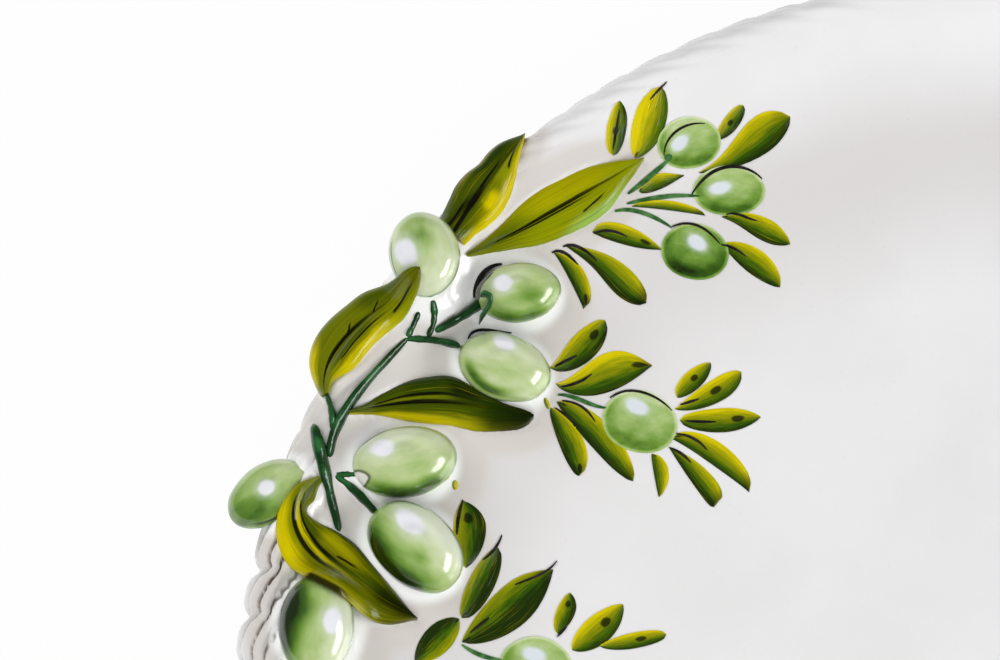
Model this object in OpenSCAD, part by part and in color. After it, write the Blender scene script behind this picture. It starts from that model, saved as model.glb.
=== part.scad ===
// Round glazed olive dish with a rope edge and two garlands of olives in relief.
// Z is up, the dish stands on z = 0 and its middle is on the Z axis.
// The garlands lie on the -X side (left) and the +X side (right), each in a far half and a near half.

/* [Dish] */
// Radius of the dish to the outside of the rope edge
rim_radius = 180; // [170:1:200]
// Radius of the flat floor inside
well_radius = 92; // [86:1:100]
// Radius of the hollow curve that rises from the floor to the lip
cove_radius = 300; // [250:5:350]
// Thickness of the clay
wall = 6; // [5:0.5:8]

/* [Foot] */
// Radius of the middle of the foot ring
foot_radius = 82; // [70:1:82]
// Width of the foot ring
foot_width = 7; // [5:0.5:8]
// Height of the foot ring
foot_height = 5; // [4.5:0.5:8]

/* [Rope edge] */
// Radius of the coil
rope_radius = 6; // [5:0.25:7]
// How far the coil stands out from the lip
rope_reach = 7.5; // [7.25:0.25:8.5]
// Depth of the grooves between the strands
groove_depth = 1.2; // [0.6:0.1:1.6]
// Number of strands counted along the edge
strand_count = 104; // [80:1:120]

/* [Olives] */
// Length of an olive of share 1, as a share of the rim radius
olive_length_share = 0.133; // [0.115:0.001:0.137]
// Width of an olive of share 1, as a share of the rim radius
olive_width_share = 0.092; // [0.08:0.001:0.094]

/* [Leaves] */
// Width of a leaf of share 1, as a share of the rim radius
leaf_width_share = 0.067; // [0.05:0.001:0.07]
// Thickness of a leaf at its rim
leaf_rim = 1.4; // [1:0.1:2]
// Height of a leaf's crown over its rim
leaf_crown = 2.4; // [1.5:0.1:3.5]

/* [Twigs] */
// Width of a thin twig, as a share of the rim radius
twig_width_share = 0.0135; // [0.011:0.0005:0.0165]
// Width of the branch, as a share of the rim radius
branch_width_share = 0.021; // [0.018:0.001:0.026]
// Thickness of a twig at its sides
twig_rim = 0.7; // [0.5:0.1:1]

/* [Joints] */
// Play between the coil and the lip
joint_gap = 0.1; // [0.05:0.05:0.3]
// Slip left under a laid-on leaf or twig
slip_gap = 0.1; // [0.05:0.05:0.3]
// How far from an olive a leaf that lies on it starts to rise
drape_reach = 2.2; // [1.8:0.1:3]

/* [Hidden] */
$fn = 96;
fine_steps = 288;
olive_steps = 44;
over = wall;
floor_top = foot_height + wall;
lip_radius = rim_radius - rope_reach;
cove_mid = floor_top + cove_radius;
lip_run = lip_radius - well_radius;
lip_top = cove_mid - sqrt(cove_radius ^ 2 - lip_run ^ 2);
lip_bottom = cove_mid - sqrt((cove_radius + wall) ^ 2 - lip_run ^ 2);
coil_r = rim_radius - rope_radius;
coil_z = (lip_top + lip_bottom) / 2;
seat_r = lip_radius + joint_gap;
seat_angle = acos((seat_r - coil_r) / rope_radius);
corner_z = coil_z + rope_radius * sin(seat_angle);
ramp_r = lip_radius - rope_reach;
drop_angle = 40;
drop_r = coil_r + rope_radius * sin(drop_angle);
drop_z = coil_z + rope_radius * cos(drop_angle);

drape_room = [drape_reach, drape_reach, slip_gap];
olive_length = rim_radius * olive_length_share;
olive_width = rim_radius * olive_width_share;
leaf_width = rim_radius * leaf_width_share;
twig_width = rim_radius * twig_width_share;
branch_width = rim_radius * branch_width_share;

// Grooves run along the coil for this many strands from its underside to its inner edge
strand_turn = 5;
strand_steps = 3;
coil_steps = 8;
coil_rows = strand_count * strand_steps;

// Olives of one half garland: degrees from the middle of the garland, radius share,
// length share, width share, spin from the outward direction, share of the slope, lift share of the width
olive_shares = [
    [37, 0.965, 0.84, 0.96, -43, -0.2, 0.3],
    [40.5, 0.863, 0.82, 0.82, 51, 1, 0.16],
    [34.5, 0.817, 0.9, 0.92, 17, 1, 0.16],
    [22.5, 0.863, 0.99, 0.96, 34, 1, 0.16],
    [16, 0.815, 1, 1.04, -24, 1, 0.16],
    [16.5, 1, 0.82, 0.80, 51, -0.3, 0.10],
    [7.5, 0.91, 0.94, 1, 97, 0.9, 0.26],
];

// Leaves: four places that draw the middle line from base to tip, each as degrees and radius share,
// then the width share, how far the belly sits towards the tip, and the olive that the leaf lies on, 0 for none
leaf_shares = [
    [[40.5, 0.96], [43, 0.967], [46, 0.977], [50, 1], 1.03, 0.85, 0],
    [[40, 0.935], [44.5, 0.92], [49.5, 0.905], [56, 0.885], 1, 1.3, 0],
    [[24.5, 0.98], [27, 1.015], [31, 0.99], [35.5, 0.95], 1, 1.05, 1],
    [[24, 0.945], [26.8, 0.905], [29.4, 0.845], [32, 0.75], 0.9, 1.2, 0],
    [[18.5, 0.945], [14.5, 0.99], [12, 0.9], [10, 0.79], 1.15, 1.2, 7],
];

// Twigs: four places of the middle line, width at the start and at the end as shares of the twig width
twig_shares = [
    [[20.5, 0.945], [22.5, 0.96], [26, 0.95], [31.5, 0.93], 1.1, 0.9],
    [[31.5, 0.93], [32, 0.935], [33, 0.935], [33.5, 0.935], 0.9, 0.7],
    [[31.5, 0.93], [32.5, 0.915], [33, 0.9], [33.5, 0.88], 1, 0.9],
    [[32.5, 0.915], [33.5, 0.91], [34.5, 0.915], [35, 0.925], 0.9, 0.9],
    [[33, 0.91], [34.5, 0.9], [36, 0.89], [37.5, 0.88], 0.9, 1],
    [[19.5, 0.935], [19, 0.92], [18.5, 0.9], [18, 0.88], 1.2, 1],
];
branch_shares = [[22, 0.97], [20, 0.95], [18, 0.93], [16, 0.915]];
branch_tip_share = 0.75;

// Steps of a laid-on strip along and across
leaf_rows = 12;
leaf_cols = 6;
twig_rows = 6;
twig_cols = 6;

sides = ["left", "right"];
halves = ["far", "near"];
function piece_name(side, half, kind) = str(side, "_", half, "_", kind);

// Height of the hollow inside at a radius
function cove(r) = r < well_radius ? floor_top : cove_mid - sqrt(cove_radius ^ 2 - (r - well_radius) ^ 2);

// Height of the ground that laid-on pieces rest on: floor, cove, ramp to the coil, coil, then straight out and down
function ground(r) =
    r < ramp_r ? cove(r)
    : r < seat_r ? cove(ramp_r) + (corner_z - cove(ramp_r)) * (r - ramp_r) / (seat_r - ramp_r)
    : r < drop_r ? coil_z + sqrt(rope_radius ^ 2 - (r - coil_r) ^ 2)
    : drop_z - (r - drop_r) * tan(drop_angle);

// Slope of the hollow inside at a radius
function slope(r) = asin((min(r, lip_radius) - well_radius) / cove_radius);

// Place on the plan from degrees and radius share
function place(p) = rim_radius * p[1] * [-cos(p[0]), sin(p[0])];

// Point and direction on a curve drawn by four places
function curve(c, u) =
    (1 - u) ^ 3 * place(c[0]) + 3 * u * (1 - u) ^ 2 * place(c[1])
    + 3 * u ^ 2 * (1 - u) * place(c[2]) + u ^ 3 * place(c[3]);
function heading(c, u) =
    (1 - u) ^ 2 * (place(c[1]) - place(c[0])) + 2 * u * (1 - u) * (place(c[2]) - place(c[1]))
    + u ^ 2 * (place(c[3]) - place(c[2]));
function left_of(d) = [-d.y, d.x] / norm(d);

// Middle, half sizes and turns of an olive
function olive_half(o) = [o[2] * olive_length, o[3] * olive_width, o[3] * olive_width] / 2;
function olive_tilt(o) = slope(o[1] * rim_radius) * o[5];
function olive_mid(o) =
    let (r = o[1] * rim_radius, lift = o[6] * o[3] * olive_width, t = olive_tilt(o), m = r - lift * sin(t))
    [-m * cos(o[0]), m * sin(o[0]), ground(r) + lift * cos(t)];

// A vector seen in the own directions of an olive with the room that a leaf over it takes
function unspun(v, a) = [v.x * cos(a) + v.y * sin(a), v.y * cos(a) - v.x * sin(a), v.z];
function untipped(v, t) = [v.x * cos(t) + v.z * sin(t), v.y, v.z * cos(t) - v.x * sin(t)];
function in_olive(o, v) =
    let (w = unspun(untipped(unspun(v, 180 - o[0]), olive_tilt(o)), o[4]), h = olive_half(o) + drape_room)
    [w.x / h.x, w.y / h.y, w.z / h.z];

// Height over a place that clears an olive, or the ground where the olive is not there
function olive_top(o, p, ground_z) =
    let (
        c = olive_mid(o),
        q = in_olive(o, [p.x - c.x, p.y - c.y, 0]),
        d = in_olive(o, [0, 0, 1]),
        a = d * d,
        b = q * d,
        k = b ^ 2 - a * (q * q - 1)
    )
    k < 0 ? ground_z : max(ground_z, c.z + (sqrt(k) - b) / a);

// Half width of a leaf along its length, and its thickness across
function leaf_half(u, belly) = max(sin(180 * u ^ belly) ^ 1.1, 0.07);
function leaf_swell(u, v, belly) = leaf_half(u, belly) * (1 - v ^ 2) * (1 - 0.35 * (1 - abs(v)) ^ 3);

// A closed strip on the ground: middle line, half width by u, rise by u and v, olive under it or 0
module strip(line, half, rise, rows, cols, under) {
    plan = [for (i = [0:rows]) for (j = [0:cols])
        curve(line, i / rows) + left_of(heading(line, i / rows)) * half(i / rows) * (2 * j / cols - 1)];
    base = [for (p = plan)
        slip_gap + (under == 0 ? ground(norm(p)) : olive_top(olive_shares[under - 1], p, ground(norm(p))))];
    top = [for (i = [0:rows]) for (j = [0:cols])
        base[i * (cols + 1) + j] + rise(i / rows, 2 * j / cols - 1)];
    count = len(plan);
    step = cols + 1;
    points = concat(
        [for (k = [0:count - 1]) [plan[k].x, plan[k].y, top[k]]],
        [for (k = [0:count - 1]) [plan[k].x, plan[k].y, base[k]]]
    );
    cells = [for (i = [0:rows - 1]) for (j = [0:cols - 1]) i * step + j];
    ends = [for (j = [0:cols - 1]) j];
    rims = [for (i = [0:rows - 1]) i * step];
    last = rows * step;
    faces = concat(
        [for (k = cells) each [[k, k + 1, k + step + 1], [k, k + step + 1, k + step]]],
        [for (k = cells) each [
            [count + k, count + k + step + 1, count + k + 1], [count + k, count + k + step, count + k + step + 1]]],
        [for (k = rims) each [[k, k + step, count + k + step], [k, count + k + step, count + k]]],
        [for (k = rims) each [
            [k + cols, count + k + cols + step, k + cols + step], [k + cols, count + k + cols, count + k + cols + step]]],
        [for (j = ends) each [[j + 1, j, count + j], [j + 1, count + j, count + j + 1]]],
        [for (j = ends) each [
            [last + j, last + j + 1, count + last + j + 1], [last + j, count + last + j + 1, count + last + j]]]
    );
    polyhedron(points, faces);
}

// Section of the clay wall from the middle to the lip
module wall_section() {
    difference() {
        translate([0, foot_height]) square([lip_radius, lip_top - foot_height]);
        hollow_section();
        difference() {
            translate([well_radius, foot_height]) square([lip_run + over, lip_bottom - foot_height]);
            translate([well_radius, cove_mid]) circle(cove_radius + wall);
        }
    }
}

// Section of the space inside the dish
module hollow_section() {
    translate([0, floor_top]) square([well_radius, lip_top]);
    translate([well_radius, cove_mid]) circle(cove_radius);
}

// Section of everything that an olive is pressed onto
module ground_section() {
    difference() {
        square([lip_radius, lip_top]);
        hollow_section();
    }
    translate([coil_r, coil_z]) circle(rope_radius);
    polygon([[ramp_r, lip_bottom], [ramp_r, cove(ramp_r)], [seat_r, corner_z], [seat_r, lip_bottom]]);
}

module dish_body() {
    color("white") rotate_extrude() wall_section();
}

module foot_ring() {
    color("white") rotate_extrude()
        translate([foot_radius - foot_width / 2, 0]) square([foot_width, foot_height]);
}

// A twisted coil with a flat inner side on the end of the lip
module rope_edge() {
    share = function (j) 2 * j / coil_steps - 1;
    groove = function (i) pow(1 - (i % strand_steps) / (strand_steps - 1), 2);
    radius = function (i, j) rope_radius - groove_depth * groove(i) * (1 - share(j) ^ 4);
    around = function (i, j) 360 * (i / strand_steps - strand_turn * share(j) / 2) / strand_count;
    step = coil_steps + 1;
    points = [for (i = [0:coil_rows - 1]) for (j = [0:coil_steps])
        let (
            out = coil_r + radius(i, j) * cos(seat_angle * share(j)),
            up = coil_z + radius(i, j) * sin(seat_angle * share(j)),
            a = around(i, j)
        )
        [out * cos(a), out * sin(a), up]];
    at = function (i, j) ((i + coil_rows) % coil_rows) * step + j;
    back = strand_turn * strand_steps;
    faces = concat(
        [for (i = [0:coil_rows - 1]) for (j = [0:coil_steps - 1]) each [
            [at(i, j), at(i, j + 1), at(i + 1, j + 1)], [at(i, j), at(i + 1, j + 1), at(i + 1, j)]]],
        [for (i = [0:coil_rows - 1]) each [
            [at(i, coil_steps), at(i - back, 0), at(i + 1 - back, 0)],
            [at(i, coil_steps), at(i + 1 - back, 0), at(i + 1, coil_steps)]]]
    );
    color("white") polyhedron(points, faces);
}

module olive(o) {
    c = olive_mid(o);
    color("yellowgreen") difference() {
        translate(c) rotate([0, 0, 180 - o[0]]) rotate([0, -olive_tilt(o), 0]) rotate([0, 0, o[4]])
            scale(olive_half(o)) sphere(1, $fn = olive_steps);
        rotate_extrude($fn = fine_steps) ground_section($fn = fine_steps);
    }
}

module leaf(l) {
    half = function (u) l[4] * leaf_width / 2 * leaf_half(u, l[5]);
    rise = function (u, v) leaf_rim + leaf_crown * leaf_swell(u, v, l[5]);
    color("olivedrab") strip([l[0], l[1], l[2], l[3]], half, rise, leaf_rows, leaf_cols, l[6]);
}

module twig(line, start_width, end_width) {
    half = function (u) (start_width + (end_width - start_width) * u) / 2;
    rise = function (u, v) twig_rim + half(u) * sqrt(1 - v ^ 2);
    strip(line, half, rise, twig_rows, twig_cols, 0);
}

module branch() {
    color("darkgreen") {
        twig(branch_shares, branch_width, branch_width * branch_tip_share);
        for (t = twig_shares) twig([t[0], t[1], t[2], t[3]], twig_width * t[4], twig_width * t[5]);
    }
}

// Puts a piece of the left far half into its own half
module into_half(side, half) {
    rotate([0, 0, side == "right" ? 180 : 0]) mirror([0, half == "near" ? 1 : 0, 0]) children();
}

dish_body();
foot_ring();
rope_edge();
for (s = sides) for (h = halves) {
    into_half(s, h) branch();
    for (i = [1:len(olive_shares)])
        into_half(s, h) olive(olive_shares[i - 1]);
    for (i = [1:len(leaf_shares)])
        into_half(s, h) leaf(leaf_shares[i - 1]);
}
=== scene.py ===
# A round shallow dish of white glazed earthenware with a twisted rope edge. Two garlands of olives, leaves
# and twigs are laid on it in relief, and sprigs of olive are painted on the hollow inside.
import math

import bmesh
import bpy
import numpy as np
from mathutils.bvhtree import BVHTree
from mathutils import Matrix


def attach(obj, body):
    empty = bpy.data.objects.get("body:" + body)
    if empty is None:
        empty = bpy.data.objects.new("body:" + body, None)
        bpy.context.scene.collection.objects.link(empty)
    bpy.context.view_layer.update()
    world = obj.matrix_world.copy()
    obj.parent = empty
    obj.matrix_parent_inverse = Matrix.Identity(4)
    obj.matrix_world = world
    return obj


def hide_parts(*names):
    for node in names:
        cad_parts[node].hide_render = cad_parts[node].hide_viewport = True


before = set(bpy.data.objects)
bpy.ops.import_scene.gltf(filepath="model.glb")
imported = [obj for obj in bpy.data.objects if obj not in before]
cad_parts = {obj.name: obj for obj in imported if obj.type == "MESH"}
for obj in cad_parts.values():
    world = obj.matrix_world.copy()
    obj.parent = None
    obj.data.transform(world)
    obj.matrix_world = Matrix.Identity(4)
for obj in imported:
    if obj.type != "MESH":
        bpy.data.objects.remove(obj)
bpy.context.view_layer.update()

# Camera
# The photograph looks at the left third of the dish from 70 degrees over the table, straight along +Y and
# through a long lens. Painted strokes are placed where the picture shows them, so the camera comes first.
mm = 0.001
picture_middle = np.array([500, 330])
picture_width = 1000
lens_pixels = 3000
sensor_width = 36
view_rise = math.radians(70)
view_target = np.array([-122.06, 91.11, 18.9])
view_distance = 674.5
view_ahead = np.array([0, math.cos(view_rise), -math.sin(view_rise)])
view_up = np.array([0, math.sin(view_rise), math.cos(view_rise)])
view_point = view_target - view_distance * view_ahead
camera = bpy.data.objects.new("camera", bpy.data.cameras.new("camera"))
camera.data.sensor_width = sensor_width
camera.data.lens = sensor_width * lens_pixels / picture_width
camera.location = view_point * mm
camera.rotation_euler = (math.pi / 2 - view_rise, 0, 0)
bpy.context.scene.collection.objects.link(camera)
bpy.context.scene.camera = camera

# Dish body
# The body is thrown earthenware: a flat floor and a hollow curve that rises to the lip, 6 mm thick. It is
# covered with an opaque white tin glaze, glossy and a little uneven, and it carries everything else.
rim_radius = 180
rope_radius = 6
rope_reach = 7.5
well_radius = 92
cove_radius = 300
wall = 6
foot_height = 5
floor_top = foot_height + wall
cove_mid = floor_top + cove_radius
lip_radius = rim_radius - rope_reach
sharp_edge = math.radians(58)


def smooth(low, high, value):
    """0 below low, 1 above high, and a soft step between; low may be the higher one."""
    share = np.clip((np.asarray(value, float) - low) / (high - low), 0, 1)
    return share * share * (3 - 2 * share)


def hollow(r, depth=0):
    """Height of the hollow curve at a radius, on its inside or at a depth in the clay."""
    run = np.clip(np.asarray(r, float) - well_radius, 0, None)
    return cove_mid - np.sqrt((cove_radius + depth) ** 2 - run ** 2)


def grid_faces(rows, cols, closed_rows=False, closed_cols=False):
    """Quads of a grid of points, row after row, with its first and last rows or columns joined on request."""
    row_count, col_count = rows - (not closed_rows), cols - (not closed_cols)
    row, col = np.meshgrid(np.arange(row_count), np.arange(col_count), indexing="ij")
    after, beside = (row + 1) % rows, (col + 1) % cols
    corners = [row * cols + col, row * cols + beside, after * cols + beside, after * cols + col]
    return np.stack(corners, -1).reshape(-1, 4).tolist()


def capped_faces(rings, steps):
    """Faces of rings of points that two more points close, one at the first ring and one at the last."""
    faces = grid_faces(rings, steps, closed_cols=True)
    for cap, start in ((rings * steps, 0), (rings * steps + 1, (rings - 1) * steps)):
        faces += [[cap, start + i, start + (i + 1) % steps] for i in range(steps)]
    return faces


def make_piece(name, points, faces, finishes, slot, nodes=()):
    """A closed mesh in millimetres becomes a piece that rides on the dish and stands for its CAD nodes."""
    mesh = bpy.data.meshes.new(name)
    mesh.from_pydata((np.asarray(points, float) * mm).tolist(), [], faces)
    skin = bmesh.new()
    skin.from_mesh(mesh)
    bmesh.ops.recalc_face_normals(skin, faces=skin.faces)
    skin.to_mesh(mesh)
    skin.free()
    mesh.shade_smooth()
    mesh.set_sharp_from_angle(angle=sharp_edge)
    for finish in finishes:
        mesh.materials.append(finish)
    piece = bpy.data.objects.new(name, mesh)
    bpy.context.scene.collection.objects.link(piece)
    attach(piece, "root")
    if nodes:
        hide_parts(*nodes)
    return piece


class Wash:
    """A value or colour on a surface. Arithmetic on values adds Math nodes to its pot."""

    def __init__(self, pot, socket):
        self.pot, self.socket = pot, socket

    def __add__(self, other):
        return self.pot.math("ADD", self, other)

    def __radd__(self, other):
        return self.pot.math("ADD", other, self)

    def __sub__(self, other):
        return self.pot.math("SUBTRACT", self, other)

    def __rsub__(self, other):
        return self.pot.math("SUBTRACT", other, self)

    def __mul__(self, other):
        return self.pot.math("MULTIPLY", self, other)

    def __rmul__(self, other):
        return self.pot.math("MULTIPLY", other, self)

    def __truediv__(self, other):
        return self.pot.math("DIVIDE", self, other)

    def __rtruediv__(self, other):
        return self.pot.math("DIVIDE", other, self)

    def __pow__(self, other):
        return self.pot.math("POWER", self, other)

    def __abs__(self):
        return self.pot.math("ABSOLUTE", self)


class Pot:
    """A glaze that is being mixed: a material and its nodes."""

    def __init__(self, name):
        self.material = bpy.data.materials.new(name)
        self.material.use_nodes = True
        self.tree = self.material.node_tree
        self.tree.nodes.clear()

    def node(self, kind, settings, sockets, out=0):
        """Any node: its settings are set first, then the values and links of its sockets."""
        made = self.tree.nodes.new(kind)
        for key, value in settings.items():
            if key == "stops":
                ramp = made.color_ramp.elements
                while len(ramp) < len(value):
                    ramp.new(1)
                for stop, (place, colour) in zip(ramp, value):
                    stop.position, stop.color = place, colour
            else:
                setattr(made, key, value)
        for key, value in sockets.items():
            if isinstance(value, Wash):
                self.tree.links.new(value.socket, made.inputs[key])
            else:
                made.inputs[key].default_value = value
        return Wash(self, made.outputs[out]) if made.outputs else None

    def math(self, operation, *values):
        return self.node("ShaderNodeMath", {"operation": operation}, dict(enumerate(values)))

    def step(self, low, high, value):
        """0 below low, 1 above high, and a soft step between; low may be the higher one."""
        rising = self.node("ShaderNodeMapRange", {"interpolation_type": "SMOOTHSTEP"},
                           {"Value": value, "From Min": min(low, high), "From Max": max(low, high)})
        return rising if low < high else 1 - rising

    def lay(self, share, under, over):
        """One colour laid over another."""
        return self.node("ShaderNodeMix", {"data_type": "RGBA"}, {0: share, 6: under, 7: over}, 2)

    def coats(self, colour, *layers):
        """Colours laid over the first, one after another, each with the share that it covers."""
        for share, over in layers:
            colour = self.lay(share, colour, over)
        return colour

    def parts(self, vector):
        """The three parts of a vector."""
        return [self.node("ShaderNodeSeparateXYZ", {}, {0: vector}, i) for i in range(3)]

    def vector(self, x, y, z):
        return self.node("ShaderNodeCombineXYZ", {}, {0: x, 1: y, 2: z})

    def mark(self, name):
        """A mark that the mesh carries, such as the place along and across a leaf."""
        return self.node("ShaderNodeAttribute", {"attribute_name": name}, {}, "Vector")

    def place(self):
        """The place on the dish in metres."""
        return self.node("ShaderNodeTexCoord", {}, {}, "Object")

    def far(self, a, b):
        """How far a place is from the middle, by its two coordinates."""
        return self.math("SQRT", a ** 2 + b ** 2)

    def cloud(self, vector, scale, detail=3):
        sockets = {"Vector": vector, "Scale": scale, "Detail": detail}
        return self.node("ShaderNodeTexNoise", {}, sockets, "Fac")

    def fire(self, colour, roughness, relief, relief_height, coat=0.0, shine=0.5):
        """The finished glaze: its colour, roughness, small unevenness, clear coat and shine."""
        bump = self.node("ShaderNodeBump", {}, {"Height": relief, "Strength": 1, "Distance": relief_height})
        glaze = self.node("ShaderNodeBsdfPrincipled", {}, {
            "Base Color": colour, "Roughness": roughness, "Normal": bump, "IOR": 1.5,
            "Specular IOR Level": shine, "Coat Weight": coat, "Coat Roughness": 0.16})
        self.node("ShaderNodeOutputMaterial", {}, {"Surface": glaze})
        return self.material


def shade(red, green, blue):
    """A colour as a picture shows it, 0 to 255."""
    values = [v / 255 for v in (red, green, blue)]
    return tuple(v / 12.92 if v < 0.04045 else ((v + 0.055) / 1.055) ** 2.4 for v in values) + (1,)


# Painted light and shade on the white glaze: a painted highlight on the thick slip close round the relief,
# a warm painted shade band where the slip is thin beside it, dark painted shade in the deep grooves of the
# edge, and a duller painted shade ring on the bend of the hollow. They go by the height of the slip and the
# depth of the grooves in millimetres, and by the distance from the middle in metres
shaded_band_slip, lit_collar_slip, groove_shade_depth = (0.05, 0.45), (1.1, 1.9), (0.6, 1.7)
shade_ring_start, shade_ring_end = (0.100, 0.138), (0.162, 0.140)


def white_glaze():
    """Opaque white glaze with painted light and shade: a painted highlight on the thick slip round the
    relief, painted shade where the slip is thin, in deep grooves and on the bend.
    """
    pot = Pot("white_glaze")
    place = pot.place()
    slip, fold, _ = pot.parts(pot.mark("slip"))
    # Painted highlight where the slip is thick, and painted shade where it is thin beside the relief
    thick = pot.step(*lit_collar_slip, slip)
    thin = pot.step(*shaded_band_slip, slip) * (1 - thick)
    x, y, _ = pot.parts(place)
    from_middle = pot.far(x, y)
    # Painted shade: a duller ring on the bend of the hollow
    bend = pot.step(*shade_ring_start, from_middle) * pot.step(*shade_ring_end, from_middle)
    flow = pot.cloud(place, 22)
    specks = pot.step(0.70, 0.76, pot.cloud(place, 900, 1))
    # Random flow, then the painted shade ring, the painted shade band, the painted highlight, painted shade
    # in the deep grooves, and real specks
    colour = pot.coats(
        shade(238, 237, 238), (pot.step(0.35, 0.7, flow), shade(232, 231, 231)),
        (bend * 0.8, shade(216, 213, 212)), (thin * 0.7, shade(211, 204, 197)), (thick, shade(252, 252, 251)),
        (pot.step(*groove_shade_depth, fold) * 0.8, shade(128, 116, 104)), (specks * 0.05, shade(150, 130, 110)))
    roughness = 0.10 + 0.06 * pot.cloud(place, 60)
    return pot.fire(colour, roughness, pot.cloud(place, 90, 2), 0.00012)


white = white_glaze()
garland_reach = 68
fine_turn = 0.42
coarse_turn = 0.86
side_turns = np.arange(-garland_reach, garland_reach, fine_turn)
gap_turns = np.arange(garland_reach, 180 - garland_reach, coarse_turn)
body_turns = np.radians(np.concatenate([side_turns, gap_turns, side_turns + 180, gap_turns + 180]))
hub_radius = 4
fine_radius = 101
floor_count, hollow_count, outside_count, under_count = 24, 72, 12, 4
inside_rings = np.concatenate([np.linspace(hub_radius, fine_radius - 1, floor_count),
                               np.linspace(fine_radius, lip_radius, hollow_count)])
outside_rings = np.linspace(lip_radius, well_radius, outside_count)
under_rings = np.linspace(well_radius, hub_radius, under_count)[1:]
ring_radii = np.concatenate([inside_rings, outside_rings, under_rings])
under_heights = np.full(len(under_rings), foot_height)
ring_heights = np.concatenate([hollow(inside_rings), hollow(outside_rings, wall), under_heights])
body_points = np.stack([
    -np.outer(ring_radii, np.cos(body_turns)), np.outer(ring_radii, np.sin(body_turns)),
    np.repeat(ring_heights[:, None], len(body_turns), 1)], -1).reshape(-1, 3)
body_points = np.vstack([body_points, [[0, 0, floor_top], [0, 0, foot_height]]])
turn_count = len(body_turns)
body_faces = capped_faces(len(ring_radii), turn_count)
body = make_piece("body", body_points, body_faces, [white], "white_glaze", ["dish_body"])

# Foot ring
# The foot is a turned ring of the same clay, luted under the body. The glaze is wiped off the face that
# stands on the table, so the bare buff clay shows there.
foot_radius = 82
foot_width = 7
foot_round = 1.4
foot_steps = 240


def foot_glaze():
    """White glaze that ends in a wavy line over the bare standing face."""
    pot = Pot("foot_glaze")
    place = pot.place()
    height = pot.parts(place)[2]
    grain = pot.cloud(place, 700)
    wiped = pot.step(0.0011, 0.0006, height + 0.0008 * (pot.cloud(place, 45) - 0.5))
    clay = pot.lay(pot.step(0.4, 0.65, grain), shade(203, 178, 148), shade(178, 150, 120))
    colour = pot.lay(wiped, shade(236, 234, 231), clay)
    return pot.fire(colour, 0.12 + 0.7 * wiped, grain * wiped, 0.0002)


corner_turns = np.linspace(0, math.pi / 2, 5)
foot_section = []
for side, level, first in ((1, 0, -90), (1, 1, 0), (-1, 1, 90), (-1, 0, 180)):
    for turn in corner_turns + math.radians(first):
        middle_r = foot_radius + side * (foot_width / 2 - foot_round)
        middle_z = foot_height + foot_round if level else foot_round
        foot_section.append((middle_r + foot_round * math.cos(turn), middle_z + foot_round * math.sin(turn)))
foot_section = np.array(foot_section)
foot_turns = np.linspace(0, 2 * math.pi, foot_steps, endpoint=False)
foot_points = np.stack([
    np.outer(np.cos(foot_turns), foot_section[:, 0]), np.outer(np.sin(foot_turns), foot_section[:, 0]),
    np.repeat(foot_section[None, :, 1], len(foot_turns), 0)], -1).reshape(-1, 3)
make_piece("foot", foot_points, grid_faces(len(foot_turns), len(foot_section), True, True),
           [foot_glaze()], "white_glaze", ["foot_ring"])

# Rope edge
# The edge is a coil of clay, twisted like a rope and luted round the lip. Its strands are soft under the
# glaze, fade into the hollow on the inside, and are no two alike.
joint_gap = 0.1
groove_depth = 0.5
deep_gain = 3.6
deep_place, deep_reach = 8, 8
even_share = 0.8
depth_waves = [(0.2, 7, 0.8), (0.15, 17, 2.1), (0.1, 31, 0)]
wobble_waves = [(0.16, 11, 1.3), (0.12, 23, 0)]
strand_count = 104
strand_turn = 5
lip_top = float(hollow(lip_radius))
lip_bottom = float(hollow(lip_radius, wall))
coil_r = rim_radius - rope_radius
coil_z = (lip_top + lip_bottom) / 2
seat_r = lip_radius + joint_gap
seat_angle = math.acos((seat_r - coil_r) / rope_radius)
corner_z = coil_z + rope_radius * math.sin(seat_angle)


def from_side(turn):
    """How many degrees a direction lies from the nearer side of the dish, left or right."""
    return np.degrees(np.arcsin(np.clip(np.abs(np.sin(turn)), 0, 1)))


def waves(x, rows):
    """A sum of waves, each with its height, how often it comes and where it starts."""
    return sum(high * np.sin(often * x + start) for high, often, start in rows)


def strand_depth(turn):
    """Depth of the grooves along the edge: uneven, and deepest beside the middle of each garland."""
    uneven = even_share + waves(turn, depth_waves)
    deeper = deep_gain * np.exp(-((from_side(turn) - deep_place) / deep_reach) ** 2)
    return groove_depth * uneven * (1 + deeper)


def groove(turn, share):
    """How far a place is into the groove between two strands, which rise faster than they fall."""
    phase = strand_count * turn + 2 * math.pi * (strand_turn * share / 2 + waves(turn, wobble_waves))
    return (0.5 + 0.5 * np.cos(phase + 0.75 * np.sin(phase))) ** 1.3


coil_steps = 30
coil_turns = math.pi - body_turns[:, None]
coil_shares = np.linspace(-1, 1, coil_steps)[None, :]
coil_depth = strand_depth(coil_turns) * groove(coil_turns, coil_shares) * smooth(-1, -0.7, coil_shares)
lobes = strand_depth(coil_turns) * groove(coil_turns, 0.1) * (1 - coil_shares ** 4)
coil_skin = rope_radius - coil_depth
coil_out = coil_r - lobes + coil_skin * np.cos(seat_angle * coil_shares)
coil_up = coil_z + coil_skin * np.sin(seat_angle * coil_shares)
coil_points = np.stack(
    [coil_out * np.cos(coil_turns), coil_out * np.sin(coil_turns), coil_up], -1).reshape(-1, 3)
coil_faces = grid_faces(turn_count, coil_steps, True, True)
coil = make_piece("rope_coil", coil_points, coil_faces, [white], "white_glaze", ["rope_edge"])

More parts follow.
